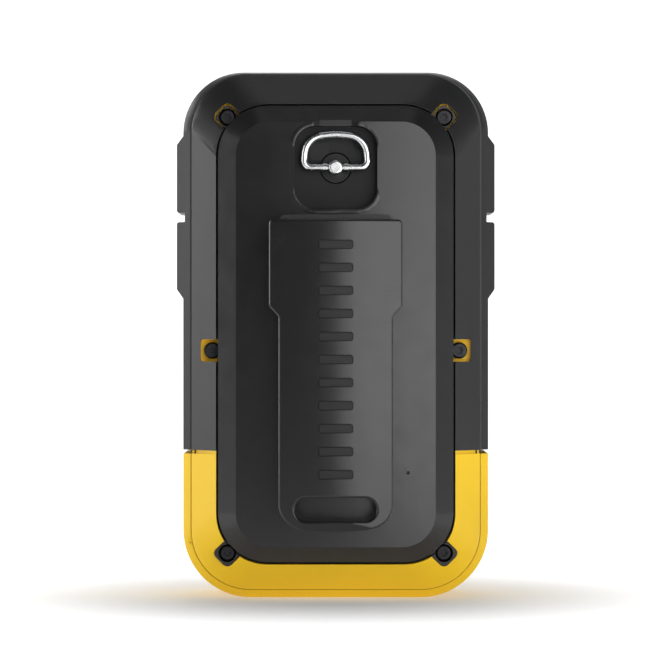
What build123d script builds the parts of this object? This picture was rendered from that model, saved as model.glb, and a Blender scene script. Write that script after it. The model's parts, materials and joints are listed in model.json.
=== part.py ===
from build123d import *
import os

# Handheld GPS unit, in millimetres. +Z is up, the back faces -Y, and x = 0 is the middle plane.
# The origin is on the flat base. Every piece is written as its own STEP file.

os.makedirs("parts", exist_ok=True)

# ---- driving dimensions ----
HALF_W, HEIGHT = 29.45, 101.4           # casing without its key surrounds
R_TOP, R_BOTTOM = 11.7, 13.0            # casing corners, seen from behind
Y_FRONT, Y_PART = 16.5, -6.5            # front face, and the plane where the two casings meet
RIM_INSET, RIM_TOP_INSET = 1.35, 0.35   # how far the front casing narrows towards that plane
Y_BEVEL = Y_PART + RIM_INSET            # where it starts to narrow, at 45 degrees on the sides
Y_SHOULDER = -12.0                      # rear casing beside the battery door
Y_CROWN, CROWN_R = -16.5, 220.0         # highest line of the door, and the radius of its crown
WALL = 2.6
SKIN = 0.8                              # soft overmould on the rear casing
BUMPER = 1.6                            # yellow bumper on the front casing
SPLIT_Z, SPLIT_GAP = 28.2, 0.7          # groove where black meets yellow

DOOR_HALF, DOOR_LOW, DOOR_HIGH, DOOR_R = 22.5, 7.25, 94.45, 9.6
DOOR_GAP, DOOR_GAP_LOW, SWING_ROOM = 0.38, 0.48, 0.25   # swing room is at the lower corners
FLAT_HALF, FLAT_LOW, FLAT_HIGH, FLAT_R = 19.0, 10.35, 91.2, 6.4
Y_DOOR_EDGE, Y_DOOR_RIM = -12.3, -9.4   # door edge outside, and the foot of its rim
Y_FLOOR = -8.6                          # floor of the recess that the door sits in
HINGE_Y, HINGE_Z, HINGE_R = -11.7, 7.95, 0.65

LATCH_Z, RING_Y, WIRE_R = 82.5, -15.2, 0.72
RECESS_FLOOR_Y = -13.5
CORNER_SCREWS = [(x, z) for z in (92.5, 8.8) for x in (-20.8, 20.8)]
SIDE_SCREWS = [(-23.7, 47.7), (23.7, 47.7)]
KEY_Y, KEY_LOW_Z, KEY_HIGH_Z = 4.0, 66.0, 81.0
LENS_Z, LENS_W, LENS_H = 59.0, 46.0, 57.0
CELL_X, CELL_Y, CELL_R = 7.5, -6.45, 7.2
BOARD_Y = 6.0                           # rear face of the main board
PIN_Y, PIN_Z, PIN_R = -22.9, 66.2, 0.75
USB_Y, USB_Z = 4.4, 38.5


# ---- helpers ----
def outline(y, half, low, high, r_low, r_high):
    """Rounded rectangle on the plane at depth y, seen from behind."""
    with BuildSketch(Plane.XZ.offset(-y)) as profile:
        with Locations((0, (low + high) / 2)):
            Rectangle(2 * half, high - low)
        fillet(profile.vertices().group_by(Axis.Y)[-1], r_high)
        fillet(profile.vertices().group_by(Axis.Y)[0], r_low)
    return profile.sketch


def casing_outline(y, inset):
    """The casing's own outline at depth y, moved inwards."""
    return outline(y, HALF_W - inset, inset, HEIGHT - inset, R_BOTTOM - inset, R_TOP - inset)


def rim_outline(y, inset):
    """The casing's outline on the plane where the two casings meet, moved inwards."""
    side = RIM_INSET + inset
    top = RIM_TOP_INSET + inset
    return outline(y, HALF_W - side, side, HEIGHT - top, R_BOTTOM - side, R_TOP - 0.6 - inset)


def recess_outline(y, extra=0.0):
    """Outline of the hollow that the door sits in."""
    return outline(y, DOOR_HALF + DOOR_GAP + extra, DOOR_LOW - DOOR_GAP_LOW - extra,
                   DOOR_HIGH + DOOR_GAP + extra, DOOR_R + DOOR_GAP - SWING_ROOM, DOOR_R + DOOR_GAP)


def block(x, y, z, mode=Mode.ADD):
    """Box between two values on each axis."""
    with Locations(((x[0] + x[1]) / 2, (y[0] + y[1]) / 2, (z[0] + z[1]) / 2)):
        Box(x[1] - x[0], y[1] - y[0], z[1] - z[0], mode=mode)


def rod_x(x, y, z, r, mode=Mode.ADD):
    """Cylinder along X between two values of x."""
    with Locations(((x[0] + x[1]) / 2, y, z)):
        Cylinder(r, x[1] - x[0], rotation=(0, 90, 0), mode=mode)


def rod_y(x, y, z, r, mode=Mode.ADD):
    """Cylinder along Y between two values of y."""
    with Locations((x, (y[0] + y[1]) / 2, z)):
        Cylinder(r, y[1] - y[0], rotation=(90, 0, 0), mode=mode)


def rod_z(x, y, z, r, mode=Mode.ADD):
    """Cylinder along Z between two values of z."""
    with Locations((x, y, (z[0] + z[1]) / 2)):
        Cylinder(r, z[1] - z[0], mode=mode)


# ---- forms that several pieces share ----
LOBE_X, GROOVE_X = 30.76, 29.15         # key surrounds, and the groove between two of them
LOBE_FRONT_Y, LOBE_RAMP = 10.5, 1.1
LOBE_LOW_Z, LOBE_HIGH_Z = (59.5, 72.5), (74.3, 87.5)
with BuildPart() as key_surrounds:
    with BuildSketch(Plane.XZ.offset(-LOBE_FRONT_Y)):
        with BuildLine():
            Polyline((26.0, LOBE_LOW_Z[0] - 1.8), (HALF_W, LOBE_LOW_Z[0] - 1.8),
                     (LOBE_X, LOBE_LOW_Z[0]), (LOBE_X, LOBE_LOW_Z[1]),
                     (26.0, LOBE_LOW_Z[1] + 0.2), close=True)
        make_face()
        with BuildLine():
            Polyline((26.0, LOBE_HIGH_Z[0]), (LOBE_X, LOBE_HIGH_Z[0]), (LOBE_X, LOBE_HIGH_Z[1]),
                     (HALF_W, LOBE_HIGH_Z[1] + 1.6), (26.0, LOBE_HIGH_Z[1] + 1.6), close=True)
        make_face()
    extrude(amount=LOBE_FRONT_Y - Y_PART)
    fillet(key_surrounds.edges().filter_by(Axis.Y).group_by(Axis.X)[-1], 0.5)
    with BuildSketch():                 # the rear face continues the casing's 45 degree rim
        with BuildLine():
            Polyline((HALF_W - RIM_INSET, Y_PART), (LOBE_X + 1, Y_PART + LOBE_X + 1 - HALF_W + RIM_INSET),
                     (LOBE_X + 1, Y_PART - 1), (HALF_W - RIM_INSET, Y_PART - 1), close=True)
        make_face()
        with BuildLine():
            Polyline((HALF_W, LOBE_FRONT_Y + 1), (LOBE_X + 1, LOBE_FRONT_Y + 1),
                     (LOBE_X + 1, LOBE_FRONT_Y - LOBE_RAMP - 1), (HALF_W, LOBE_FRONT_Y), close=True)
        make_face()
    extrude(amount=HEIGHT, mode=Mode.SUBTRACT)
    mirror(about=Plane.YZ)

with BuildPart() as front_form:
    extrude(casing_outline(Y_FRONT, 0), amount=Y_FRONT - Y_BEVEL)
    fillet(front_form.edges().group_by(Axis.Y)[-1], 4.0)
    loft([casing_outline(Y_BEVEL, 0), rim_outline(Y_PART, 0)])
    add(key_surrounds.part)
    for side in (-1, 1):
        block(sorted((side * GROOVE_X, side * (GROOVE_X + 3))), (Y_PART, LOBE_FRONT_Y),
              (LOBE_LOW_Z[1], LOBE_HIGH_Z[0]), mode=Mode.SUBTRACT)

with BuildPart() as front_core:         # what the yellow bumper wraps
    extrude(casing_outline(Y_FRONT - BUMPER, BUMPER), amount=Y_FRONT - BUMPER - Y_PART)
    fillet(front_core.edges().group_by(Axis.Y)[-1], 3.0)

SEAM_Y, SEAM_DEPTH = Y_PART - 0.3, 0.5  # groove along the joint of the two casings
with BuildPart() as rear_form:
    extrude(rim_outline(Y_PART, SEAM_DEPTH), amount=Y_PART - SEAM_Y)
    loft([rim_outline(SEAM_Y, 0.3), recess_outline(Y_SHOULDER, 0.05)])

with BuildPart() as rear_core:          # what the black overmould covers
    extrude(rim_outline(Y_PART, SEAM_DEPTH), amount=Y_PART - SEAM_Y)
    loft([rim_outline(SEAM_Y, 0.3 + SKIN), recess_outline(Y_SHOULDER + SKIN / 2, 0.05)])

with BuildPart() as above_split:
    block((-40, 40), (-40, 40), (SPLIT_Z + SPLIT_GAP / 2, 110))

with BuildPart() as below_split:
    block((-40, 40), (-40, 40), (-5, SPLIT_Z - SPLIT_GAP / 2))

# ---- front casing ----
LEDGE_Y = 14.3                          # where the lens is glued down
PLATE_Y = 13.0                          # inner face of the front plate
WALL_X = HALF_W - WALL
KEY_W, KEY_H, KEY_R = 5.2, 9.6, 2.59    # a key cap's face, and its end radius
KEY_CLEAR = 0.3
USB_DEPTH = 1.4                         # sunk seat of the rubber socket cap
BOARD_SCREWS = [(x, z) for z in (20.0, 91.0) for x in (-15.0, 15.0)]


def key_prism(x0, x1, grow=0.0, mode=Mode.ADD):
    """Long rounded prism along X at each of the two key places on the +X side."""
    for z in (KEY_LOW_Z, KEY_HIGH_Z):
        with BuildSketch(Plane.YZ.offset(x0)) as face:
            with Locations((KEY_Y, z)):
                RectangleRounded(KEY_W + 2 * grow, KEY_H + 2 * grow, KEY_R + grow)
        extrude(face.sketch, amount=x1 - x0, mode=mode)


with BuildPart() as key_holes:
    key_prism(WALL_X - 1, LOBE_X + 1, KEY_CLEAR)
    mirror(about=Plane.YZ)

with BuildPart() as lower_half:         # black core under the bumper
    add(front_core.part)
    block((-40, 40), (-40, 40), (SPLIT_Z + 2, 110), mode=Mode.SUBTRACT)

with BuildPart() as front_housing:
    add(front_form.part)
    add(above_split.part, mode=Mode.INTERSECT)
    add(lower_half.part)
    extrude(outline(PLATE_Y, WALL_X, WALL, HEIGHT - WALL, R_BOTTOM - WALL, R_TOP - WALL),
            amount=PLATE_Y - Y_PART, mode=Mode.SUBTRACT)
    extrude(outline(Y_FRONT, LENS_W / 2, LENS_Z - LENS_H / 2, LENS_Z + LENS_H / 2, 4, 4),
            amount=Y_FRONT - LEDGE_Y, mode=Mode.SUBTRACT)
    extrude(outline(Y_FRONT, 19, LENS_Z - 23, LENS_Z + 23, 2, 2),
            amount=Y_FRONT - PLATE_Y, mode=Mode.SUBTRACT)
    for x, z in CORNER_SCREWS + SIDE_SCREWS:
        rod_y(x, (Y_PART + 0.1, PLATE_Y), z, 2.2)
    for x, z in SIDE_SCREWS:
        side = 1 if x > 0 else -1
        block(sorted((x, side * (WALL_X + 0.5))), (Y_PART + 0.1, PLATE_Y), (z - 1.5, z + 1.5))
    for x, z in CORNER_SCREWS + SIDE_SCREWS:
        rod_y(x, (Y_PART, 4.0), z, 0.9, mode=Mode.SUBTRACT)
    for x, z in BOARD_SCREWS:
        rod_y(x, (BOARD_Y + 1.2, PLATE_Y), z, 2.0)
        rod_y(x, (BOARD_Y, PLATE_Y - 1.5), z, 0.8, mode=Mode.SUBTRACT)
    add(key_holes.part, mode=Mode.SUBTRACT)
    with BuildSketch(Plane.YZ.offset(-HALF_W)) as cap_seat:
        with Locations((USB_Y, USB_Z)):
            RectangleRounded(8.6, 14.6, 2.3)
    extrude(cap_seat.sketch, amount=USB_DEPTH, mode=Mode.SUBTRACT)
    block((-HALF_W, -WALL_X + 1), (USB_Y - 2.2, USB_Y + 2.2), (USB_Z - 5.6, USB_Z + 5.6),
          mode=Mode.SUBTRACT)
front_housing.part.label = "front_housing"
export_step(front_housing.part, "parts/front_housing.step")

with BuildPart() as front_bumper:
    add(front_form.part)
    add(below_split.part, mode=Mode.INTERSECT)
    add(front_core.part, mode=Mode.SUBTRACT)
front_bumper.part.label = "front_bumper"
export_step(front_bumper.part, "parts/front_bumper.step")

# ---- display ----
with BuildPart() as display_lens:
    extrude(outline(Y_FRONT - 0.2, LENS_W / 2 - 0.2, LENS_Z - LENS_H / 2 + 0.2,
                    LENS_Z + LENS_H / 2 - 0.2, 3.8, 3.8), amount=1.6)
    chamfer(display_lens.edges().group_by(Axis.Y)[-1], 0.25)
display_lens.part.label = "display_lens"
export_step(display_lens.part, "parts/display_lens.step")

with BuildPart() as lens_gasket:
    extrude(outline(LEDGE_Y + 0.4, 22.4, LENS_Z - 27.9, LENS_Z + 27.9, 3.4, 3.4), amount=0.4)
    extrude(outline(LEDGE_Y + 0.4, 19.4, LENS_Z - 23.4, LENS_Z + 23.4, 2.2, 2.2), amount=0.4,
            mode=Mode.SUBTRACT)
lens_gasket.part.label = "lens_gasket"
export_step(lens_gasket.part, "parts/lens_gasket.step")

with BuildPart() as lcd_panel:
    block((-20, 20), (11.1, 12.7), (LENS_Z - 25, LENS_Z + 25))
lcd_panel.part.label = "lcd_panel"
export_step(lcd_panel.part, "parts/lcd_panel.step")

with BuildPart() as backlight:
    block((-19.6, 19.6), (9.9, 11.0), (LENS_Z - 24.6, LENS_Z + 24.6))
backlight.part.label = "backlight"
export_step(backlight.part, "parts/backlight.step")

with BuildPart() as lcd_frame:
    block((-21.4, 21.4), (9.1, 12.8), (LENS_Z - 26.4, LENS_Z + 26.4))
    block((-20.2, 20.2), (9.8, 13.0), (LENS_Z - 25.2, LENS_Z + 25.2), mode=Mode.SUBTRACT)
lcd_frame.part.label = "lcd_frame"
export_step(lcd_frame.part, "parts/lcd_frame.step")

# ---- electronics ----
BOARD_FRONT_Y = BOARD_Y + 1.2
SWITCH_X = (21.0, 24.4)
with BuildPart() as main_board:
    extrude(outline(BOARD_FRONT_Y, 24.6, 8.6, 97.0, 8, 8), amount=1.2)
    for x, z in CORNER_SCREWS + SIDE_SCREWS:
        rod_y(x, (BOARD_Y - 1, BOARD_FRONT_Y + 1), z, 2.6, mode=Mode.SUBTRACT)
    for x, z in BOARD_SCREWS:
        rod_y(x, (BOARD_Y - 1, BOARD_FRONT_Y + 1), z, 0.9, mode=Mode.SUBTRACT)
main_board.part.label = "main_board"
export_step(main_board.part, "parts/main_board.step")

with BuildPart() as board_screws:
    for x, z in BOARD_SCREWS:
        rod_y(x, (BOARD_Y - 1.1, BOARD_Y), z, 1.5)
        rod_y(x, (BOARD_Y, PLATE_Y - 1.8), z, 0.75)
board_screws.part.label = "board_screws"
export_step(board_screws.part, "parts/board_screws.step")

with BuildPart() as shield_can:
    block((-15, 15), (BOARD_Y - 2.2, BOARD_Y), (28, 60))
    fillet(shield_can.edges().filter_by(Axis.Y), 1.0)
    block((-14.7, 14.7), (BOARD_Y - 1.9, BOARD_Y), (28.3, 59.7), mode=Mode.SUBTRACT)
shield_can.part.label = "shield_can"
export_step(shield_can.part, "parts/shield_can.step")

with BuildPart() as processor:
    block((-6, 6), (BOARD_Y - 1.2, BOARD_Y), (38, 50))
processor.part.label = "processor"
export_step(processor.part, "parts/processor.step")

with BuildPart() as gnss_antenna:
    block((-9, 9), (BOARD_Y - 4.4, BOARD_Y), (77, 95))
    chamfer(gnss_antenna.edges().filter_by(Axis.Y), 1.2)
gnss_antenna.part.label = "gnss_antenna"
export_step(gnss_antenna.part, "parts/gnss_antenna.step")

with BuildPart() as key_switches:
    for side in (-1, 1):
        for z in (KEY_LOW_Z, KEY_HIGH_Z):
            block(sorted((side * SWITCH_X[0], side * SWITCH_X[1])), (KEY_Y - 1.6, BOARD_Y),
                  (z - 3, z + 3))
            rod_x(sorted((side * SWITCH_X[1], side * (SWITCH_X[1] + 0.5))), KEY_Y, z, 0.8)
key_switches.part.label = "key_switches"
export_step(key_switches.part, "parts/key_switches.step")

with BuildPart() as buzzer:
    rod_y(20.4, (BOARD_Y - 3.0, BOARD_Y), 30.0, 3.4)
    rod_y(20.4, (BOARD_Y - 3.2, BOARD_Y - 2.4), 30.0, 0.7, mode=Mode.SUBTRACT)
buzzer.part.label = "buzzer"
export_step(buzzer.part, "parts/buzzer.step")

with BuildPart() as backup_cell:
    rod_y(0.0, (BOARD_Y - 1.6, BOARD_Y), 18.0, 4.6)
    fillet(backup_cell.edges().group_by(Axis.Y)[0], 0.4)
backup_cell.part.label = "backup_cell"
export_step(backup_cell.part, "parts/backup_cell.step")

with BuildPart() as lcd_flex:           # runs from the backlight tray round the board's edge
    block((-6, 6), (BOARD_FRONT_Y, BOARD_FRONT_Y + 0.2), (24.0, 31.8))
    block((-6, 6), (BOARD_FRONT_Y, 12.0), (31.6, 31.8))
lcd_flex.part.label = "lcd_flex"
export_step(lcd_flex.part, "parts/lcd_flex.step")

with BuildPart() as usb_socket:
    with BuildSketch(Plane.YZ.offset(-WALL_X + 0.9)) as shell_face:
        with Locations((USB_Y, USB_Z)):
            RectangleRounded(3.2, 8.9, 1.5)
            RectangleRounded(2.6, 8.3, 1.2, mode=Mode.SUBTRACT)
    extrude(shell_face.sketch, amount=7.0)
    block((-19.4, -19.0), (USB_Y - 1.5, USB_Y + 1.5), (USB_Z - 4.3, USB_Z + 4.3))
    block((-WALL_X + 1.4, -19.2), (USB_Y - 0.35, USB_Y + 0.35), (USB_Z - 3.4, USB_Z + 3.4))
usb_socket.part.label = "usb_socket"
export_step(usb_socket.part, "parts/usb_socket.step")

# ---- side keys ----
FLANGE_X, FLANGE_T = WALL_X - 0.3, 0.8
KEY_FACE_X = LOBE_X - 0.25


def side_key(side, z):
    """Rubber cap with a flange that stops it inside the wall."""
    with BuildPart() as key:
        with BuildSketch(Plane.YZ.offset(FLANGE_X)) as cap:
            with Locations((KEY_Y, z)):
                RectangleRounded(KEY_W, KEY_H, KEY_R)
        extrude(cap.sketch, amount=KEY_FACE_X - FLANGE_X)
        fillet(key.faces().sort_by(Axis.X)[-1].edges(), 0.6)
        with BuildSketch(Plane.YZ.offset(FLANGE_X - FLANGE_T)) as flange:
            with Locations((KEY_Y, z)):
                RectangleRounded(KEY_W + 2.2, KEY_H + 2.2, KEY_R + 1)
        extrude(flange.sketch, amount=FLANGE_T)
        for bar in (-1.6, 0, 1.6):      # raised grip bars on the cap
            with Locations((KEY_FACE_X, KEY_Y, z + bar)):
                Box(0.3, 2.6, 0.5)
    return key.part if side > 0 else mirror(key.part, about=Plane.YZ)


SIDE_KEYS = {"up_key": (-1, KEY_HIGH_Z), "down_key": (-1, KEY_LOW_Z),
             "power_key": (1, KEY_HIGH_Z), "enter_key": (1, KEY_LOW_Z)}
for name, (side, z) in SIDE_KEYS.items():
    key_cap = side_key(side, z)
    key_cap.label = name
    export_step(key_cap, f"parts/{name}.step")

# ---- rubber cap of the data socket: a flap with a short plug, hinged at its lower end ----
with BuildPart() as usb_cap:
    with BuildSketch(Plane.YZ.offset(-HALF_W)) as flap:
        with Locations((USB_Y, USB_Z)):
            RectangleRounded(8.0, 14.0, 2.0)
    extrude(flap.sketch, amount=USB_DEPTH - 0.3)
    fillet(usb_cap.faces().sort_by(Axis.X)[0].edges(), 0.3)
    block((-HALF_W + 0.5, -HALF_W + 2.0), (USB_Y - 1.2, USB_Y + 1.2), (USB_Z - 3.4, USB_Z + 3.4))
    for bar in (4.2, 5.0):              # pull grip at the free end
        with Locations((-HALF_W, USB_Y, USB_Z + bar)):
            Box(0.2, 4.0, 0.4)
usb_cap.part.label = "usb_cap"
export_step(usb_cap.part, "parts/usb_cap.step")

# ---- rear casing ----
SCREW_FLOOR = -7.5
BAY_X, BAY_Z, BAY_Y = 15.2, (12.0, 70.6), 1.2
CRADLE_X, CRADLE_Z = (6.0, 10.0), (HINGE_Z - 0.25, HINGE_Z + 1.3)
POCKET_W, POCKET_R = 4.3, 1.2           # the screw pockets, square with rounded corners
with BuildPart() as screw_pockets:
    with BuildSketch(Plane.XZ.offset(-SCREW_FLOOR)):
        with Locations(*CORNER_SCREWS):
            RectangleRounded(POCKET_W, POCKET_W, POCKET_R, rotation=45)
        with Locations(*SIDE_SCREWS):
            RectangleRounded(POCKET_W + 0.2, POCKET_W, 0.5)
    extrude(amount=8)

with BuildPart() as liner_room:         # the overmould also lines the recess above the split
    extrude(recess_outline(Y_FLOOR, SKIN), amount=10)
    add(above_split.part, mode=Mode.INTERSECT)

with BuildPart() as seal_groove:
    extrude(casing_outline(Y_PART, 2.2), amount=0.4)
    extrude(casing_outline(Y_PART, 2.9), amount=0.4, mode=Mode.SUBTRACT)

with BuildPart() as grip_cover:         # what the overmould is moulded over
    add(rear_core.part)
    add(liner_room.part, mode=Mode.SUBTRACT)

with BuildPart() as rear_housing:
    add(rear_form.part)
    add(below_split.part, mode=Mode.INTERSECT)
    add(rear_core.part)
    extrude(recess_outline(Y_FLOOR), amount=10, mode=Mode.SUBTRACT)
    add(liner_room.part, mode=Mode.SUBTRACT)
    block((-16.7, 16.7), (Y_FLOOR + 0.5, BAY_Y + 1.2), (10.6, 72.0))
    block((-BAY_X, BAY_X), (-20, BAY_Y), BAY_Z, mode=Mode.SUBTRACT)
    add(screw_pockets.part, mode=Mode.SUBTRACT)
    for x, z in CORNER_SCREWS + SIDE_SCREWS:
        rod_y(x, (SCREW_FLOOR - 1, Y_PART + 1), z, 1.0, mode=Mode.SUBTRACT)
    add(seal_groove.part, mode=Mode.SUBTRACT)
    for side in (-1, 1):                # half-round seats for the door's hinge bead
        block(sorted((side * CRADLE_X[0], side * CRADLE_X[1])), (HINGE_Y + 0.3, Y_FLOOR + 0.5),
              CRADLE_Z)
        rod_x(sorted((side * 5.9, side * 10.1)), HINGE_Y, HINGE_Z, HINGE_R + 0.08,
              mode=Mode.SUBTRACT)
    block((-14.6, -12.4), (-13.3, Y_FLOOR + 0.5), (79.5, 86.5))
    block((-14.6, -10.0), (-13.3, -12.3), (79.5, 86.5))
rear_housing.part.label = "rear_housing"
export_step(rear_housing.part, "parts/rear_housing.step")

with BuildPart() as rear_grip:
    add(rear_form.part)
    add(above_split.part, mode=Mode.INTERSECT)
    add(grip_cover.part, mode=Mode.SUBTRACT)
    extrude(recess_outline(Y_FLOOR), amount=10, mode=Mode.SUBTRACT)
    add(screw_pockets.part, mode=Mode.SUBTRACT)
rear_grip.part.label = "rear_grip"
export_step(rear_grip.part, "parts/rear_grip.step")

with BuildPart() as housing_gasket:     # sits in the groove between the two casings
    extrude(casing_outline(Y_PART - 0.05, 2.25), amount=0.2)
    extrude(casing_outline(Y_PART - 0.05, 2.85), amount=0.2, mode=Mode.SUBTRACT)
housing_gasket.part.label = "housing_gasket"
export_step(housing_gasket.part, "parts/housing_gasket.step")

SCREW_HEAD_R, SCREW_HEAD_H = 1.6, 1.5
with BuildPart() as housing_screws:
    for x, z in CORNER_SCREWS + SIDE_SCREWS:
        rod_y(x, (SCREW_FLOOR - SCREW_HEAD_H, SCREW_FLOOR), z, SCREW_HEAD_R)
    fillet(housing_screws.edges().group_by(Axis.Y)[0], 0.45)
    for x, z in CORNER_SCREWS + SIDE_SCREWS:
        rod_y(x, (SCREW_FLOOR, 3.5), z, 0.85)
        with BuildSketch(Plane.XZ.offset(-(SCREW_FLOOR - SCREW_HEAD_H))) as drive:
            with Locations((x, z)):
                Circle(0.52)
                with PolarLocations(0.58, 6):
                    Circle(0.2)
        extrude(drive.sketch, amount=-0.9, mode=Mode.SUBTRACT)
housing_screws.part.label = "housing_screws"
export_step(housing_screws.part, "parts/housing_screws.step")

UPPER_CUP_H, UPPER_CUP_GAP = 1.6, 0.3   # the upper two leave a thin ring of the pocket's floor
LOWER_CUP_H, LOWER_CUP_GAP = 2.4, 0.05
CUPS = [(CORNER_SCREWS[:2], UPPER_CUP_H, UPPER_CUP_GAP), (CORNER_SCREWS[2:], LOWER_CUP_H, LOWER_CUP_GAP)]
with BuildPart() as screw_cups:         # black liners of the four corner pockets
    for places, height, gap in CUPS:
        with BuildSketch(Plane.XZ.offset(-SCREW_FLOOR)) as cup_face:
            with Locations(*places):
                RectangleRounded(POCKET_W - 2 * gap, POCKET_W - 2 * gap, POCKET_R - gap, rotation=45)
                Circle(SCREW_HEAD_R + 0.1, mode=Mode.SUBTRACT)
        extrude(cup_face.sketch, amount=height)
    extrude(recess_outline(Y_FLOOR, 0.02), amount=10, mode=Mode.SUBTRACT)
screw_cups.part.label = "screw_cups"
export_step(screw_cups.part, "parts/screw_cups.step")

# ---- cells and contacts ----
CELL_LOW, CELL_HIGH, NUB_H = 16.4, 66.7, 1.0


def aa_cell(x, nub_up):
    """Cell body with its nub on one end and a flat negative end on the other."""
    low = CELL_LOW if nub_up else CELL_LOW + NUB_H
    with BuildPart() as cell:
        rod_z(x, CELL_Y, (low, low + CELL_HIGH - CELL_LOW - NUB_H), CELL_R)
        fillet(cell.edges(), 0.5)
        if nub_up:
            rod_z(x, CELL_Y, (CELL_HIGH - NUB_H, CELL_HIGH), 2.75)
        else:
            rod_z(x, CELL_Y, (CELL_LOW, CELL_LOW + NUB_H), 2.75)
    return cell.part


CELLS = {"battery_cell_left": (-CELL_X, True), "battery_cell_right": (CELL_X, False)}
for name, (x, nub_up) in CELLS.items():
    fresh_cell = aa_cell(x, nub_up)
    fresh_cell.label = name
    export_step(fresh_cell, f"parts/{name}.step")

PLATE_LOW, PLATE_HIGH = BAY_Z[0] + 0.4, BAY_Z[1] - 0.4
CONTACT_T = 0.4
with BuildPart() as contact_bridge:
    block((-13.5, 13.5), (CELL_Y - 4.5, CELL_Y + 4.5), (PLATE_LOW, PLATE_LOW + CONTACT_T))
    rod_z(CELL_X, CELL_Y, (PLATE_LOW, CELL_LOW), 2.2)
contact_bridge.part.label = "contact_bridge"
export_step(contact_bridge.part, "parts/contact_bridge.step")

with BuildPart() as contact_terminals:
    for side in (-1, 1):
        block(sorted((side * 2, side * 13.5)), (CELL_Y - 4.5, CELL_Y + 4.5),
              (PLATE_HIGH - CONTACT_T, PLATE_HIGH))
    rod_z(-CELL_X, CELL_Y, (CELL_HIGH, PLATE_HIGH), 2.2)
contact_terminals.part.label = "contact_terminals"
export_step(contact_terminals.part, "parts/contact_terminals.step")

SPRING_WIRE = 0.3


def coil(x, y, low, high, radius, turns):
    """Helical compression spring with its axis along Z."""
    height = high - low - 2 * SPRING_WIRE
    with BuildPart() as spring:
        with BuildLine() as path:
            Helix(height / turns, height, radius, center=(x, y, low + SPRING_WIRE))
        with BuildSketch(Plane(origin=path.line @ 0, z_dir=path.line % 0)):
            Circle(SPRING_WIRE)
        sweep(path=path.line, is_frenet=True)
    return spring.part


with BuildPart() as contact_springs:
    add(coil(-CELL_X, CELL_Y, PLATE_LOW + CONTACT_T + 0.05, CELL_LOW - 0.05, 3.0, 3))
    add(coil(CELL_X, CELL_Y, CELL_HIGH + 0.05, PLATE_HIGH - CONTACT_T - 0.05, 3.0, 3))
contact_springs.part.label = "contact_springs"
export_step(contact_springs.part, "parts/contact_springs.step")

# ---- battery door, and the well that holds its latch ----
RECESS_W, RECESS_R = 15.8, 4.0
WELL_WALL, WELL_FLOOR = 0.9, 1.3
POST_R, POST_CLEAR = 1.9, 0.05
DISC_R, DISC_Y = 2.93, (RECESS_FLOOR_Y + 0.15, RECESS_FLOOR_Y + 0.65)
SPINE_NECK, SPINE_HEAD, SPINE_Z = 2.6, 4.6, (57.2, 72.2)
INNER_Y = -14.2                         # inner face of the door
VENT_X, VENT_Z, VENT_R = 13.7, 24.5, 0.35
FLAT_Y = Y_CROWN + CROWN_R - (CROWN_R**2 - FLAT_HALF**2) ** 0.5


def well_outline(y, grow):
    """Outline of the hollow that the ring lies in."""
    half = RECESS_W / 2 + grow
    return outline(y, half, LATCH_Z - half, LATCH_Z + half, RECESS_R + grow, RECESS_R + grow)


with BuildPart() as door_form:
    extrude(outline(Y_DOOR_RIM, DOOR_HALF, DOOR_LOW, DOOR_HIGH, DOOR_R, DOOR_R),
            amount=Y_DOOR_RIM - Y_DOOR_EDGE)
    flat_face = outline(FLAT_Y, FLAT_HALF, FLAT_LOW, FLAT_HIGH, FLAT_R, FLAT_R)
    loft([outline(Y_DOOR_EDGE, DOOR_HALF, DOOR_LOW, DOOR_HIGH, DOOR_R, DOOR_R), flat_face])
    extrude(flat_face, amount=FLAT_Y - Y_CROWN)
    with Locations((0, Y_CROWN + CROWN_R, HEIGHT / 2)):
        Cylinder(CROWN_R, 2 * HEIGHT, mode=Mode.INTERSECT)
    with BuildSketch(Plane.XY.offset(LATCH_Z + RECESS_W / 2 - 0.7)) as notch:
        with BuildLine():               # finger notch above the ring
            Polyline((-4.6, -17), (-4.2, -16.4), (-3.0, -15.3), (3.0, -15.3), (4.2, -16.4),
                     (4.6, -17), close=True)
        make_face()
    extrude(notch.sketch, amount=2.2, mode=Mode.SUBTRACT)

with BuildPart() as battery_door:
    add(door_form.part)
    loft([outline(Y_DOOR_RIM + 0.01, 20.2, 10.6, 92.1, 7.6, 7.6),
          outline(INNER_Y, 17.5, 12.5, 89.8, 5, 5)], mode=Mode.SUBTRACT)
    extrude(well_outline(RECESS_FLOOR_Y + WELL_FLOOR + 0.2, WELL_WALL), amount=6,
            mode=Mode.SUBTRACT)
    block((-SPINE_NECK, SPINE_NECK), (-18.3, Y_CROWN + 0.4), SPINE_Z)
    block((-SPINE_HEAD, SPINE_HEAD), (-19.1, -18.2), SPINE_Z)
    rod_y(VENT_X, (Y_CROWN - 1, INNER_Y + 1), VENT_Z, VENT_R, mode=Mode.SUBTRACT)
    for side in (-1, 1):                # room for the two seats, with the hinge bead across it
        block(sorted((side * 5.6, side * 10.4)), (HINGE_Y - 0.1, Y_DOOR_RIM + 1),
              (DOOR_LOW - 1, HINGE_Z + 1.6), mode=Mode.SUBTRACT)
        rod_x(sorted((side * 5.5, side * 10.5)), HINGE_Y, HINGE_Z, HINGE_R)
battery_door.part.label = "battery_door"
export_step(battery_door.part, "parts/battery_door.step")

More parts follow.
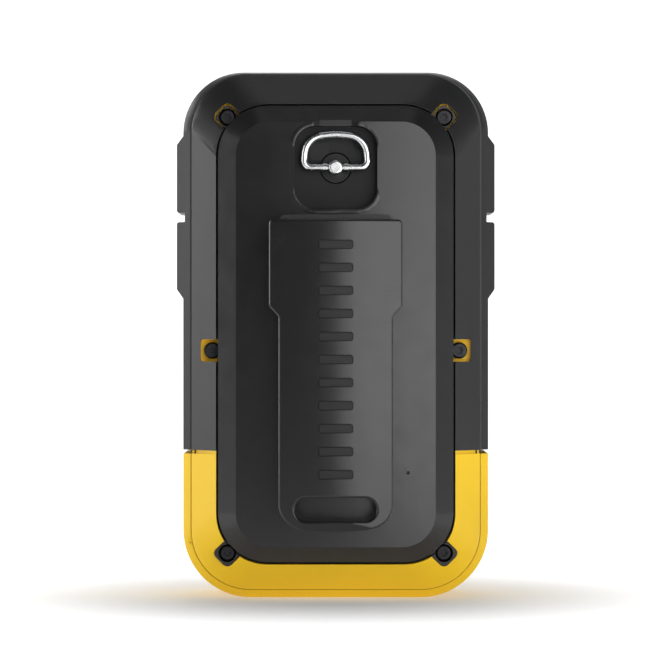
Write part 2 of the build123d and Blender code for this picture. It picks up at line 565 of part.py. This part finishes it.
with BuildPart() as latch_well:
    extrude(well_outline(RECESS_FLOOR_Y + WELL_FLOOR, WELL_WALL), amount=6)
    add(door_form.part, mode=Mode.INTERSECT)
    extrude(well_outline(RECESS_FLOOR_Y, 0), amount=6, mode=Mode.SUBTRACT)
    block((-4.9, -1.3), (RECESS_FLOOR_Y - 0.35, RECESS_FLOOR_Y + 0.2),   # pad inside the ring
          (LATCH_Z + 1.4, LATCH_Z + 4.8))
    rod_y(0, (RECESS_FLOOR_Y - 1, -11), LATCH_Z, POST_R + POST_CLEAR, mode=Mode.SUBTRACT)
    rod_y(0, (RECESS_FLOOR_Y - 1, DISC_Y[1] + 0.05), LATCH_Z, DISC_R + 0.12, mode=Mode.SUBTRACT)
    rod_y(4.5, (RECESS_FLOOR_Y - 0.1, RECESS_FLOOR_Y + 0.5), LATCH_Z + 4.6, 1.2,
          mode=Mode.SUBTRACT)
latch_well.part.label = "latch_well"
export_step(latch_well.part, "parts/latch_well.step")

with BuildPart() as door_gasket:        # seal on the recess floor, seen in the gap round the door
    extrude(recess_outline(Y_FLOOR), amount=0.4)
    extrude(outline(Y_FLOOR, 19.8, 10.2, 91.5, 7.2, 7.2), amount=0.4, mode=Mode.SUBTRACT)
    add(screw_pockets.part, mode=Mode.SUBTRACT)
    for side in (-1, 1):
        block(sorted((side * (CRADLE_X[0] - 0.1), side * (CRADLE_X[1] + 0.1))), (-11, -8),
              (CRADLE_Z[0] - 0.1, CRADLE_Z[1] + 0.1), mode=Mode.SUBTRACT)
door_gasket.part.label = "door_gasket"
export_step(door_gasket.part, "parts/door_gasket.step")

with BuildPart() as vent_membrane:
    rod_y(VENT_X, (INNER_Y, INNER_Y + 0.25), VENT_Z, 1.8)
vent_membrane.part.label = "vent_membrane"
export_step(vent_membrane.part, "parts/vent_membrane.step")

# ---- quarter-turn latch ----
CAM_Y, CAM_TIP_R = (-11.9, -10.5), 11.8
CLIP_GROOVE_Y = (-10.3, -9.8)
STUD_R, STUD_Y, STEM_R = 1.4, (-16.6, DISC_Y[0]), 0.8
with BuildPart() as post_groove:
    rod_y(0, CLIP_GROOVE_Y, LATCH_Z, 2)
    rod_y(0, CLIP_GROOVE_Y, LATCH_Z, 0.9, mode=Mode.SUBTRACT)

with BuildPart() as latch_post:
    rod_y(0, DISC_Y, LATCH_Z, DISC_R)
    chamfer(latch_post.edges().group_by(Axis.Y)[0], 0.15)
    rod_y(0, (DISC_Y[1] - 0.1, CAM_Y[0]), LATCH_Z, POST_R)
    with BuildSketch(Plane.XZ.offset(-CAM_Y[1])) as shank:  # flats that drive the tongue
        with Locations((0, LATCH_Z)):
            Circle(POST_R)
            Rectangle(2 * POST_R, 2.6, mode=Mode.INTERSECT)
    extrude(shank.sketch, amount=CAM_Y[1] - CAM_Y[0])
    rod_y(0, (CAM_Y[1], -9.4), LATCH_Z, 1.3)
    add(post_groove.part, mode=Mode.SUBTRACT)
    rod_y(0, (DISC_Y[0] - 1, CAM_Y[0]), LATCH_Z, STEM_R, mode=Mode.SUBTRACT)
latch_post.part.label = "latch_post"
export_step(latch_post.part, "parts/latch_post.step")

with BuildPart() as latch_stud:         # bright stud that carries the ring
    rod_y(0, STUD_Y, LATCH_Z, STUD_R)
    fillet(latch_stud.edges().group_by(Axis.Y)[0], 0.5)
    rod_y(0, (STUD_Y[1], CAM_Y[0]), LATCH_Z, STEM_R)
    rod_x((-3, 3), RING_Y, LATCH_Z, WIRE_R + 0.05, mode=Mode.SUBTRACT)
latch_stud.part.label = "latch_stud"
export_step(latch_stud.part, "parts/latch_stud.step")

with BuildSketch() as drive_hole:       # the tongue's hole, which fits the post's flats
    Circle(POST_R + 0.01)
    Rectangle(2 * POST_R + 1, 2.62, mode=Mode.INTERSECT)

with BuildPart() as latch_tongue:
    with BuildSketch(Plane.XZ.offset(-CAM_Y[1])) as tongue:
        with Locations((0, LATCH_Z)):
            Circle(3.4)
        with Locations((0, LATCH_Z - CAM_TIP_R / 2 - 1)):
            Rectangle(4.4, CAM_TIP_R + 2)
        with Locations((0, LATCH_Z)):
            Circle(CAM_TIP_R, mode=Mode.INTERSECT)
            add(drive_hole.sketch, mode=Mode.SUBTRACT)
    extrude(tongue.sketch, amount=CAM_Y[1] - CAM_Y[0])
latch_tongue.part.label = "latch_tongue"
export_step(latch_tongue.part, "parts/latch_tongue.step")

with BuildPart() as latch_circlip:
    with BuildSketch(Plane.XZ.offset(-CLIP_GROOVE_Y[1])) as ring_face:
        with Locations((0, LATCH_Z)):
            Circle(2.4)
            Circle(0.92, mode=Mode.SUBTRACT)
        with Locations((0, LATCH_Z + 2)):
            Rectangle(1.5, 3, mode=Mode.SUBTRACT)
    extrude(ring_face.sketch, amount=0.4)
latch_circlip.part.label = "latch_circlip"
export_step(latch_circlip.part, "parts/latch_circlip.step")

RING_HALF, RING_TOP = 6.18, 6.42
RING_SHOULDER, SHOULDER_R = (5.65, 5.7), 3.7
with BuildPart() as d_ring:
    with BuildLine(Plane((0, RING_Y, LATCH_Z), x_dir=(1, 0, 0), z_dir=(0, -1, 0))) as ring_path:
        FilletPolyline((-RING_HALF, 0), (RING_HALF, 0), RING_SHOULDER, (0, RING_TOP),
                       (-RING_SHOULDER[0], RING_SHOULDER[1]),
                       radius=[1.4, 1.4, SHOULDER_R, 12, SHOULDER_R], close=True)
    with BuildSketch(Plane(origin=ring_path.line @ 0, z_dir=ring_path.line % 0)):
        Circle(WIRE_R)
    sweep(path=ring_path.line)
    for side in (-1, 1):                # collars that keep the ring centred in its post
        rod_x(sorted((side * 1.65, side * 2.4)), RING_Y, LATCH_Z, 0.95)
d_ring.part.label = "d_ring"
export_step(d_ring.part, "parts/d_ring.step")

# ---- belt clip ----
CLIP_TOP, CLIP_BOTTOM = 72.3, 13.9
CLIP_WIDE, CLIP_SLIM = 12.5, 10.7
CLIP_OUT_Y, CLIP_BOW_R, CLIP_T = -27.0, 45.0, 2.0
BASE_HALF, BASE_Z, BASE_Y = 10.7, (54.6, 73.4), (-20.6, -16.9)
LUG_X, LUG_R = (4.7, 6.6), 1.3
with BuildPart() as clip_base:
    block((-BASE_HALF, BASE_HALF), BASE_Y, BASE_Z)
    fillet(clip_base.edges().filter_by(Axis.Y).group_by(Axis.Z)[-1], 1.2)
    block((-SPINE_NECK - 0.3, SPINE_NECK + 0.3), (-18.0, -16), (SPINE_Z[0] - 0.3, 80),
          mode=Mode.SUBTRACT)
    block((-SPINE_HEAD - 0.3, SPINE_HEAD + 0.3), (-19.4, -17.9), (SPINE_Z[0] - 0.3, 80),
          mode=Mode.SUBTRACT)
    for side in (-1, 1):
        span = sorted((side * LUG_X[0], side * LUG_X[1]))
        rod_x(span, PIN_Y, PIN_Z, LUG_R)
        block(span, (PIN_Y, BASE_Y[0] + 0.5), (PIN_Z - LUG_R, PIN_Z + LUG_R))
        rod_x(span, PIN_Y, PIN_Z, PIN_R, mode=Mode.SUBTRACT)
clip_base.part.label = "clip_base"
export_step(clip_base.part, "parts/clip_base.step")

with BuildPart() as clip_bow:           # the curved sheet that the lever is cut from
    with Locations((0, CLIP_OUT_Y + CLIP_BOW_R, 44)):
        Cylinder(CLIP_BOW_R, 80)
        Cylinder(CLIP_BOW_R - CLIP_T, 80, mode=Mode.SUBTRACT)
    block((-30, 30), (-20, 70), (0, 90), mode=Mode.SUBTRACT)

SHOULDER_Z, WAIST_Z = 56.0, 54.1
SLOT_Z, SLOT_L, SLOT_H = 18.0, 15.2, 4.4
BAR_ROWS, BAR_LOW_Z, BAR_PITCH = 11, 24.6, 4.3
BAR_W, BAR_H, BAR_DEPTH = 6.6, 1.9, 0.35
EDGE_R, CURL_R = 0.45, 4.4              # rounding of the lever's edge, and of its lower corners
LIP_Z, LIP_DEPTH = 15.6, 0.9            # where the lower lip starts to slope away, and how far
with BuildPart() as lever_outline:
    with BuildSketch(Plane.XZ.offset(15)):
        with BuildLine():
            low, bend = CLIP_BOTTOM + 0.35, CLIP_SLIM - CURL_R
            Polyline((CLIP_SLIM, CLIP_BOTTOM + 4.5), (CLIP_SLIM, WAIST_Z), (CLIP_WIDE, SHOULDER_Z),
                     (CLIP_WIDE, CLIP_TOP), (-CLIP_WIDE, CLIP_TOP), (-CLIP_WIDE, SHOULDER_Z),
                     (-CLIP_SLIM, WAIST_Z), (-CLIP_SLIM, CLIP_BOTTOM + 4.5))
            ThreePointArc((-CLIP_SLIM, CLIP_BOTTOM + 4.5), (-CLIP_SLIM + 1.35, CLIP_BOTTOM + 1.75),
                          (-bend, low))
            ThreePointArc((-bend, low), (0, CLIP_BOTTOM), (bend, low))
            ThreePointArc((bend, low), (CLIP_SLIM - 1.35, CLIP_BOTTOM + 1.75),
                          (CLIP_SLIM, CLIP_BOTTOM + 4.5))
        make_face()
    extrude(amount=20)
    fillet(lever_outline.edges().filter_by(Axis.Y).group_by(Axis.Z)[-1], 0.8)
    fillet(lever_outline.edges().filter_by(Axis.Y).filter_by(
        lambda e: WAIST_Z - 1 < e.center().Z < SHOULDER_Z + 1), 1.2)

with BuildPart() as behind_lever:       # everything under the lever's outer surface
    with Locations((0, CLIP_OUT_Y + CLIP_BOW_R, 44)):
        Cylinder(CLIP_BOW_R - 0.5, 80)

with BuildPart() as lever_cheeks:       # beside the base, carrying the pin
    for side in (-1, 1):
        block(sorted((side * 11.0, side * (CLIP_WIDE - 0.1))), (-26, -21.4), (57.0, 71.8))
    add(behind_lever.part, mode=Mode.INTERSECT)

with BuildPart() as belt_rib:           # rib that presses on the belt
    block((-8.5, 8.5), (-26, -17.7), (21.0, 23.4))
    rod_x((-8.5, 8.5), -18.1, 22.2, 1.2)
    add(behind_lever.part, mode=Mode.INTERSECT)

with BuildPart() as grip_bars:          # shallow sunk bars down the middle
    with BuildSketch(Plane.XZ.offset(20)):
        for row in range(BAR_ROWS):
            with Locations((0, BAR_LOW_Z + row * BAR_PITCH)):
                RectangleRounded(BAR_W, BAR_H, 0.6)
    extrude(amount=10)
    with Locations((0, CLIP_OUT_Y + CLIP_BOW_R, 44)):
        Cylinder(CLIP_BOW_R - BAR_DEPTH, 80, mode=Mode.SUBTRACT)

with BuildPart() as clip_lever:
    add(lever_outline.part)
    add(clip_bow.part, mode=Mode.INTERSECT)
    with BuildSketch(Plane.XZ.offset(15)) as thumb_slot:
        with Locations((0, SLOT_Z)):
            SlotOverall(SLOT_L, SLOT_H)
    extrude(thumb_slot.sketch, amount=20, mode=Mode.SUBTRACT)
    fillet(clip_lever.faces().sort_by(Axis.Y)[0].edges(), EDGE_R)
    with BuildSketch(Plane.YZ.offset(-15)):
        with BuildLine():
            Polyline((CLIP_OUT_Y, LIP_Z), (CLIP_OUT_Y + LIP_DEPTH, CLIP_BOTTOM),
                     (CLIP_OUT_Y + LIP_DEPTH, CLIP_BOTTOM - 1), (CLIP_OUT_Y - 1, CLIP_BOTTOM - 1),
                     (CLIP_OUT_Y - 1, LIP_Z), close=True)
        make_face()
    extrude(amount=30, mode=Mode.SUBTRACT)
    add(lever_cheeks.part)
    add(belt_rib.part)
    rod_x((-13, 13), PIN_Y, PIN_Z, PIN_R + 0.06, mode=Mode.SUBTRACT)
    add(grip_bars.part, mode=Mode.SUBTRACT)
clip_lever.part.label = "clip_lever"
export_step(clip_lever.part, "parts/clip_lever.step")

with BuildPart() as clip_pin:
    rod_x((-12.0, 12.0), PIN_Y, PIN_Z, PIN_R)
    chamfer(clip_pin.edges(), 0.15)
clip_pin.part.label = "clip_pin"
export_step(clip_pin.part, "parts/clip_pin.step")

with BuildPart() as clip_spring:        # torsion spring wound on the pin
    with BuildLine() as wind:
        Helix(0.62, 8.06, 1.35, center=(-4.03, PIN_Y, PIN_Z), direction=(1, 0, 0))
    with BuildSketch(Plane(origin=wind.line @ 0, z_dir=wind.line % 0)):
        Circle(0.24)
    sweep(path=wind.line, is_frenet=True)
clip_spring.part.label = "clip_spring"
export_step(clip_spring.part, "parts/clip_spring.step")
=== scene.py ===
import json
import math

import bmesh
import bpy
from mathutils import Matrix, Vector


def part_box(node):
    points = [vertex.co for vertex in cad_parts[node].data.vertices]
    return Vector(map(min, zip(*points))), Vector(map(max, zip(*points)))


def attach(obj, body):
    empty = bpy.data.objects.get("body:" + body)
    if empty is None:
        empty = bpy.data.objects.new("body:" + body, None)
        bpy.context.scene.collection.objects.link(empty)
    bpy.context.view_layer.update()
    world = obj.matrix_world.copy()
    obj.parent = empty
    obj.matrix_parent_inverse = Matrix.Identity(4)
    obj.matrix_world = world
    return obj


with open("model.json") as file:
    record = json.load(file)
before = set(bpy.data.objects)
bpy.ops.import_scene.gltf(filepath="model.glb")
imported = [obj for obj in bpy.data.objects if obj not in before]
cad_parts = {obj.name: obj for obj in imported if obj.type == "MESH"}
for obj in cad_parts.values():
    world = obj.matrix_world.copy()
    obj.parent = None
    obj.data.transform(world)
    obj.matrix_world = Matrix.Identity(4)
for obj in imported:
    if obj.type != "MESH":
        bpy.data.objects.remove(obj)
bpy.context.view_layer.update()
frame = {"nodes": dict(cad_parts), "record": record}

MM = 0.001
nodes = frame["nodes"]


def put_in_scene(name, data):
    """Make an object from this data and link it to the scene."""
    obj = bpy.data.objects.new(name, data)
    bpy.context.scene.collection.objects.link(obj)
    return obj


# ---- camera and lights ----
CAMERA_X = -0.00014
CAMERA_DISTANCE = 0.650
CAMERA_HEIGHT = 0.05067                 # about half the casing's height
VIEW_WIDTH = 0.1305                     # what the frame spans in the plane y = 0
SENSOR_WIDTH = 36.0
WORLD_LIGHT = 0.08

camera = put_in_scene("camera", bpy.data.cameras.new("camera"))
camera.location = (CAMERA_X, -CAMERA_DISTANCE, CAMERA_HEIGHT)
camera.rotation_euler = (math.radians(90), 0, 0)
camera.data.sensor_width = SENSOR_WIDTH
camera.data.lens = SENSOR_WIDTH * CAMERA_DISTANCE / VIEW_WIDTH
camera.data.clip_start = 0.01
bpy.context.scene.camera = camera
bpy.context.scene.view_settings.view_transform = "Standard"


def softbox(name, azimuth, distance, height, size, radiance):
    """Rectangular area light aimed at mid-height; azimuth 0 is the camera's side, + towards +X, degrees."""
    light = bpy.data.lights.new(name, "AREA")
    light.shape = "RECTANGLE"
    light.size, light.size_y = size
    light.energy = radiance * math.pi * size[0] * size[1]
    obj = put_in_scene(name, light)
    angle = math.radians(azimuth)
    obj.location = (distance * math.sin(angle), -distance * math.cos(angle), height)
    towards = Vector((0, 0, CAMERA_HEIGHT)) - obj.location
    obj.rotation_euler = towards.to_track_quat("-Z", "Y").to_euler()
    return obj


side_lights = [
    softbox("light_left", -117, 0.66, 0.10, (0.50, 0.75), 3.7),
    softbox("light_right_front", 26.0, 0.80, 0.10, (0.68, 0.80), 2.45),
    softbox("light_right_far", 100, 0.9, 0.10, (0.40, 0.70), 0.03),
]
softbox("light_left_front", -60, 0.90, 0.10, (0.20, 0.75), 3.8)
softbox("light_top", 0, 0.07, 0.80, (0.46, 0.14), 1.1)

world = bpy.data.worlds.new("studio")
bpy.context.scene.world = world
world.use_nodes = True
world.node_tree.nodes["Background"].inputs["Color"].default_value = (1, 1, 1, 1)
world.node_tree.nodes["Background"].inputs["Strength"].default_value = WORLD_LIGHT


# ---- short forms for shader nodes ----
def ramp(tree, source, start, end, low, high, interpolation="LINEAR"):
    """Map the source from start..end to low..high."""
    node = tree.nodes.new("ShaderNodeMapRange")
    node.interpolation_type = interpolation
    for name, value in (("From Min", start), ("From Max", end), ("To Min", low), ("To Max", high)):
        node.inputs[name].default_value = value
    tree.links.new(source, node.inputs["Value"])
    return node.outputs["Result"]


def smooth_ramp(tree, source, start, end, low, high):
    """The same with soft ends."""
    return ramp(tree, source, start, end, low, high, "SMOOTHSTEP")


def calculate(tree, operation, *sources):
    """A math node fed by one or two sources."""
    node = tree.nodes.new("ShaderNodeMath")
    node.operation = operation
    for source, socket in zip(sources, node.inputs):
        tree.links.new(source, socket)
    return node.outputs["Value"]


def split_axes(tree, coordinates):
    """The X, Y and Z outputs of a coordinate."""
    node = tree.nodes.new("ShaderNodeSeparateXYZ")
    tree.links.new(coordinates, node.inputs["Vector"])
    return node.outputs


# ---- floor ----
FLOOR_NEAR, FLOOR_FAR, FLOOR_HALF_WIDTH = -8.0, 1.2, 20.0
BACKDROP_TOP, BACKDROP_BEND, BEND_STEPS = 3.0, 0.6, 12
FLOOR_GREY = 0.70


def floor_profile():
    """Side view of the paper as (y, z) points: flat, a quarter circle, then upright."""
    bend_start = FLOOR_FAR - BACKDROP_BEND
    points = [(FLOOR_NEAR, 0.0), (bend_start, 0.0)]
    for step in range(1, BEND_STEPS + 1):
        angle = math.radians(90 * step / BEND_STEPS)
        rise = BACKDROP_BEND - BACKDROP_BEND * math.cos(angle)
        points.append((bend_start + BACKDROP_BEND * math.sin(angle), rise))
    points.append((FLOOR_FAR, BACKDROP_TOP))
    return points


def floor_glow(tree):
    """Painted light on the paper: a glow that keeps it white all round behind, a painted pool of light right
    of the front, and a painted contact shadow round the base.
    """
    place = tree.nodes.new("ShaderNodeTexCoord").outputs["Object"]
    axes = split_axes(tree, place)
    x, y = axes["X"], axes["Y"]
    reach = tree.nodes.new("ShaderNodeVectorMath")
    reach.operation = "LENGTH"
    tree.links.new(place, reach.inputs[0])
    # Glow bright behind the object, dimmer in front and far to the sides: painted shade in front for the
    # lower faces to reflect.
    behind = calculate(tree, "MULTIPLY",
                       smooth_ramp(tree, y, -0.20, -0.125, 0.32, 0.97),
                       smooth_ramp(tree, calculate(tree, "ABSOLUTE", x), 0.19, 0.38, 1.0, 0.35))
    # Painted pool of light on the floor right of the front, a bright patch for the lower right faces to
    # reflect.
    right_front = calculate(tree, "MULTIPLY",
                            smooth_ramp(tree, x, 0.0, 0.06, 0.0, 2.8),
                            smooth_ramp(tree, y, -0.17, -0.09, 1.0, 0.0))
    # Painted contact shadow: the glow drops round the object's base.
    painted_contact_shadow = smooth_ramp(tree, reach.outputs["Value"], 0.02, 0.085, 0.32, 1.0)
    return calculate(tree, "MULTIPLY", calculate(tree, "MAXIMUM", behind, right_front), painted_contact_shadow)


def floor_paper():
    """Matt pale paper with a glow of its own."""
    paper = bpy.data.materials.new("floor_paper")
    paper.use_nodes = True
    shader = paper.node_tree.nodes["Principled BSDF"]
    shader.inputs["Base Color"].default_value = (FLOOR_GREY, FLOOR_GREY, FLOOR_GREY, 1)
    shader.inputs["Roughness"].default_value = 0.9
    shader.inputs["Specular IOR Level"].default_value = 0.1
    shader.inputs["Emission Color"].default_value = (1, 1, 1, 1)
    paper.node_tree.links.new(floor_glow(paper.node_tree), shader.inputs["Emission Strength"])
    return paper


def studio_floor():
    """Pale floor that sweeps up into a backdrop and takes no light from the side lights."""
    profile = floor_profile()
    mesh = bpy.data.meshes.new("floor")
    verts = [(x, y, z) for y, z in profile for x in (-FLOOR_HALF_WIDTH, FLOOR_HALF_WIDTH)]
    faces = [(2 * i, 2 * i + 1, 2 * i + 3, 2 * i + 2) for i in range(len(profile) - 1)]
    mesh.from_pydata(verts, [], faces)
    mesh.shade_smooth()
    mesh.materials.append(floor_paper())
    floor = put_in_scene("floor", mesh)
    unlit = bpy.data.collections.new("unlit_by_side_lights")
    unlit.objects.link(floor)
    unlit.collection_objects[0].light_linking.link_state = "EXCLUDE"
    for light in side_lights:
        light.light_linking.receiver_collection = unlit


studio_floor()


# ---- materials ----
class Material:
    """A principled material with helpers for its procedural inputs."""

    def __init__(self, name, color, roughness, metallic=0.0, specular=0.5):
        self.data = bpy.data.materials.new(name)
        self.data.use_nodes = True
        self.tree = self.data.node_tree
        self.shader = self.tree.nodes["Principled BSDF"]
        self.shader.inputs["Base Color"].default_value = (*color, 1)
        self.shader.inputs["Roughness"].default_value = roughness
        self.shader.inputs["Metallic"].default_value = metallic
        self.shader.inputs["Specular IOR Level"].default_value = specular
        self.place = self.tree.nodes.new("ShaderNodeTexCoord").outputs["Object"]
        self.color, self.roughness = color, roughness
        self.last_bump = None

    def link(self, source, target):
        self.tree.links.new(source, target)

    def noise(self, scale, detail=3.0, stretch=(1, 1, 1)):
        mapping = self.tree.nodes.new("ShaderNodeMapping")
        mapping.inputs["Scale"].default_value = stretch
        self.link(self.place, mapping.inputs["Vector"])
        texture = self.tree.nodes.new("ShaderNodeTexNoise")
        texture.inputs["Scale"].default_value = scale
        texture.inputs["Detail"].default_value = detail
        self.link(mapping.outputs["Vector"], texture.inputs["Vector"])
        return texture.outputs["Fac"]

    def vary_color(self, scale, spread):
        """Drift between a darker and a lighter form of the colour."""
        drift = self.tree.nodes.new("ShaderNodeValToRGB")
        darker, lighter = drift.color_ramp.elements
        darker.position, lighter.position = 0.35, 0.68
        darker.color = (*(c * (1 - spread) for c in self.color), 1)
        lighter.color = (*(min(1.0, c * (1 + spread)) for c in self.color), 1)
        self.link(self.noise(scale), drift.inputs["Fac"])
        self.link(drift.outputs["Color"], self.shader.inputs["Base Color"])

    def vary_roughness(self, scale, spread, stretch=(1, 1, 1)):
        """Patches of slightly more and slightly less gloss."""
        low, high = max(0.02, self.roughness - spread), min(1.0, self.roughness + spread)
        patches = ramp(self.tree, self.noise(scale, 4.0, stretch), 0.3, 0.7, low, high)
        self.link(patches, self.shader.inputs["Roughness"])

    def bump(self, source, height_mm):
        """Relief of this height, added to the bumps made before."""
        node = self.tree.nodes.new("ShaderNodeBump")
        node.inputs["Distance"].default_value = height_mm * MM
        node.inputs["Strength"].default_value = 1.0
        self.link(source, node.inputs["Height"])
        if self.last_bump:
            self.link(self.last_bump.outputs["Normal"], node.inputs["Normal"])
        self.link(node.outputs["Normal"], self.shader.inputs["Normal"])
        self.last_bump = node


def moulded(name, color, roughness, grain_mm=0.25, grain_height_mm=0.002, specular=0.5):
    """Injection moulded plastic with a fine spark-eroded grain and slightly uneven gloss."""
    made = Material(name, color, roughness, specular=specular)
    made.vary_color(70, 0.025)
    made.vary_roughness(260, 0.025)
    made.bump(made.noise(1 / (grain_mm * MM), 2.0), grain_height_mm)
    return made.data


def metal(name, color, roughness, brushed=(1, 1, 1), scratch_height_mm=0.004):
    """Plated or drawn metal with fine directional marks."""
    made = Material(name, color, roughness, metallic=1.0)
    made.vary_color(120, 0.05)
    made.vary_roughness(900, 0.06, brushed)
    made.bump(made.noise(2500, 2.0, brushed), scratch_height_mm)
    return made.data


def lens_glass():
    """Clear window plastic."""
    made = Material("lens_glass", (0.9, 0.92, 0.93), 0.04)
    made.shader.inputs["Transmission Weight"].default_value = 1.0
    made.shader.inputs["IOR"].default_value = 1.49
    made.vary_roughness(300, 0.015)
    return made.data


def display_glass():
    """Switched-off reflective display: grey-green with faint parallel lines."""
    made = Material("display_glass", (0.075, 0.085, 0.078), 0.30)
    made.vary_color(40, 0.05)
    made.vary_roughness(200, 0.03)
    wave = made.tree.nodes.new("ShaderNodeTexWave")
    wave.bands_direction = "Z"
    wave.inputs["Scale"].default_value = 1400
    made.link(made.place, wave.inputs["Vector"])
    made.bump(wave.outputs["Fac"], 0.001)
    return made.data


DOOR_COLOR, DOOR_ROUGHNESS = (0.011, 0.011, 0.012), 0.23


def recess_black():
    """Door plastic at the recess's rim, duller and less shiny towards its floor; the lost shine is painted
    shade deep in the recess.
    """
    made = Material("recess_black", DOOR_COLOR, DOOR_ROUGHNESS)
    made.vary_color(70, 0.06)
    depth = split_axes(made.tree, made.place)["Y"]
    rim_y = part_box("latch_well")[0][1] + 0.6 * MM
    floor_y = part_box("latch_post")[0][1]
    # Rougher towards the floor, and less specular there: the specular drop is painted shade in the recess.
    for socket, at_rim, at_floor in (("Roughness", DOOR_ROUGHNESS, 0.50), ("Specular IOR Level", 0.5, 0.22)):
        made.link(ramp(made.tree, depth, rim_y, floor_y, at_rim, at_floor), made.shader.inputs[socket])
    return made.data


materials = {
    "black_casing": moulded("black_casing", (0.012, 0.012, 0.012), 0.34),
    "yellow_casing": moulded("yellow_casing", (0.96, 0.61, 0.012), 0.42, 0.3, 0.003, 0.35),
    "grip_black": moulded("grip_black", (0.012, 0.012, 0.013), 0.36),
    "door_black": moulded("door_black", DOOR_COLOR, DOOR_ROUGHNESS),
    "clip_black": moulded("clip_black", (0.011, 0.011, 0.012), 0.25),
    "key_rubber": moulded("key_rubber", (0.017, 0.017, 0.018), 0.62, 0.15, 0.015, 0.35),
    "seal_rubber": moulded("seal_rubber", (0.03, 0.03, 0.033), 0.7, 0.2, 0.012, 0.3),
    "chrome_wire": metal("chrome_wire", (0.70, 0.71, 0.72), 0.24, scratch_height_mm=0.0001),
    "latch_metal": metal("latch_metal", (0.72, 0.72, 0.74), 0.22),
    "black_metal": metal("black_metal", (0.035, 0.035, 0.038), 0.38),
    "spring_steel": metal("spring_steel", (0.60, 0.60, 0.62), 0.28),
    "white_plastic": moulded("white_plastic", (0.72, 0.72, 0.70), 0.45),
    "board_laminate": moulded("board_laminate", (0.012, 0.12, 0.05), 0.35, 0.8, 0.02),
    "tin_plate": metal("tin_plate", (0.66, 0.66, 0.64), 0.30, (1, 8, 1)),
    "chip_black": moulded("chip_black", (0.018, 0.018, 0.018), 0.55),
    "patch_ceramic": moulded("patch_ceramic", (0.66, 0.60, 0.48), 0.6, 0.4, 0.02),
    "flex_film": moulded("flex_film", (0.50, 0.24, 0.04), 0.3, 0.6, 0.005),
    "cell_jacket": metal("cell_jacket", (0.55, 0.57, 0.60), 0.25, (1, 1, 12)),
    "contact_nickel": metal("contact_nickel", (0.70, 0.68, 0.62), 0.25),
    "lens_glass": lens_glass(),
    "display_glass": display_glass(),
}
OWN_MATERIAL = {
    "latch_well": recess_black(),
    "latch_post": moulded("post_black", (0.006, 0.006, 0.006), 0.35, specular=0.3),
}
slot_of = {row["node"]: row["material_slot"] for row in frame["record"]["subparts"]}
for name, obj in nodes.items():
    obj.data.materials.clear()
    obj.data.materials.append(OWN_MATERIAL.get(name, materials[slot_of[name]]))


# ---- soft dark inlays in the sunk bars of the clip lever, painted shade in the bars ----
BAR_COUNT, BAR_PITCH = 11, 4.3 * MM
FIRST_BAR_RISE = 10.7 * MM              # from the lever's lower end to the lowest bar's middle
BAR_HALF_WIDTH, BAR_HALF_HEIGHT = 3.2 * MM, 0.85 * MM
BAR_CORNER, CORNER_STEPS = 0.5 * MM, 6
BAR_BACK, BAR_CROWN = 0.34 * MM, 0.10 * MM      # below the lever's outer face
LEVER_BOW = 45.0 * MM                   # radius of the lever's face across its width
CROWN_EDGE = (                          # (step in from the side, drop below the crown)
    (0.0, BAR_BACK - BAR_CROWN), (0.0, 0.10 * MM), (0.08 * MM, 0.03 * MM), (0.22 * MM, 0.0),
)


def bar_ring(mesh, inset, y, middle_z):
    """One closed ring of a bar, a rounded rectangle that follows the lever's bow."""
    ring = []
    for quarter, (side_x, side_z) in enumerate(((1, 1), (-1, 1), (-1, -1), (1, -1))):
        for step in range(CORNER_STEPS + 1):
            angle = math.radians(90 * (quarter + step / CORNER_STEPS))
            x = side_x * (BAR_HALF_WIDTH - BAR_CORNER) + (BAR_CORNER - inset) * math.cos(angle)
            z = side_z * (BAR_HALF_HEIGHT - BAR_CORNER) + (BAR_CORNER - inset) * math.sin(angle)
            ring.append(mesh.verts.new((x, y + x * x / (2 * LEVER_BOW), middle_z + z)))
    return ring


def add_bar(mesh, crown_y, middle_z):
    """One closed rubber bar with a softened outer edge."""
    rings = [bar_ring(mesh, inset, crown_y + drop, middle_z) for inset, drop in CROWN_EDGE]
    for inner, outer in zip(rings[1:], rings):
        for i in range(len(inner)):
            j = (i + 1) % len(inner)
            mesh.faces.new((outer[i], outer[j], inner[j], inner[i]))
    mesh.faces.new(rings[-1])
    mesh.faces.new(reversed(rings[0]))


def bar_shade_inlays():
    """Crowned dark rubber bars, one in each sunk bar down the middle of the lever, painted shade where the
    sunk bars would be in shadow.
    """
    lever_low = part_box("clip_lever")[0]
    mesh = bmesh.new()
    for row in range(BAR_COUNT):
        add_bar(mesh, lever_low.y + BAR_CROWN, lever_low.z + FIRST_BAR_RISE + row * BAR_PITCH)
    bmesh.ops.recalc_face_normals(mesh, faces=mesh.faces)
    data = bpy.data.meshes.new("bar_shade_inlays")
    mesh.to_mesh(data)
    mesh.free()
    data.shade_smooth()
    # Matt dark rubber, so the bars read darker than the lever: painted shade for the sunk bars.
    data.materials.append(materials["key_rubber"])
    inlays = put_in_scene("bar_shade_inlays", data)
    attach(inlays, "lever")


bar_shade_inlays()


# ---- softened edges on the moulded pieces ----
EDGE_MM = {
    "clip_base": 0.25, "rear_grip": 0.3, "latch_well": 0.25,
    "rear_housing": 0.18, "front_housing": 0.2, "front_bumper": 0.2, "screw_cups": 0.12,
}
WELD_MM = 0.002


def soften_edges(obj, width_mm):
    """Join the facets' shared points, then round every edge sharper than 28 degrees."""
    weld = obj.modifiers.new("weld", "WELD")
    weld.merge_threshold = WELD_MM * MM
    bevel = obj.modifiers.new("edge", "BEVEL")
    bevel.width = width_mm * MM
    bevel.segments = 3
    bevel.limit_method = "ANGLE"
    bevel.angle_limit = math.radians(28)
    bevel.use_clamp_overlap = True
    bevel.harden_normals = True


for name, width_mm in EDGE_MM.items():
    soften_edges(nodes[name], width_mm)
